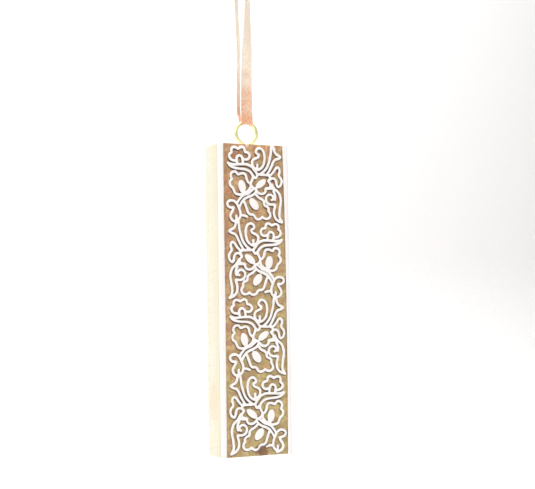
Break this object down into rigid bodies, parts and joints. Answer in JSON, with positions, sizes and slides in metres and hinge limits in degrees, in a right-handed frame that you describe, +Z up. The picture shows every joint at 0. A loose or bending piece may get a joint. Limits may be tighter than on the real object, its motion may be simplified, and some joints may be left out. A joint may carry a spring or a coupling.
{
  "type": "mezuzah case",
  "caption": "Slim wooden mezuzah case with a carved scrollwork front, a sliding back cover and a rolled parchment, hanging from a screw eye on a ribbon loop.",
  "frame": {"origin": "where a nail or hook holds the ribbon loop, just under its knot, plumb over the screw eye", "axes": "+Z up, the carved front faces -Y, +X to the right as seen from the front"},
  "size_m": [0.0282, 0.0138, 0.1823],
  "materials": {
    "carved_wood": "whitewashed relief on oiled golden-brown ground",
    "pale_wood": "bare, fine sanded",
    "cover_wood": "bare, fine sanded",
    "eye_brass": "bright",
    "parchment": "matt, translucent",
    "ribbon_fabric": "sheer with fine glitter"
  },
  "bodies": {
    "ribbon": {"hanging_ribbon": "ribbon_fabric", "ribbon_knot": "ribbon_fabric"},
    "case": {"carved_front_board": "carved_wood", "left_side_rail": "pale_wood", "right_side_rail": "pale_wood", "top_block": "pale_wood", "bottom_block": "pale_wood", "screw_eye": "eye_brass", "parchment_scroll": "parchment"},
    "cover": {"back_cover": "cover_wood"}
  },
  "joints": [
    {"name": "case_swing", "type": "hinge", "parent": "ribbon", "child": "case", "pos_m": [0, 0, -0.049], "axis": [1, 0, 0], "range_deg": [-75, 75]},
    {"name": "cover_slide", "type": "slide", "parent": "case", "child": "cover", "axis": [0, 0, -1], "range_m": [0, 0.09]}
  ]
}
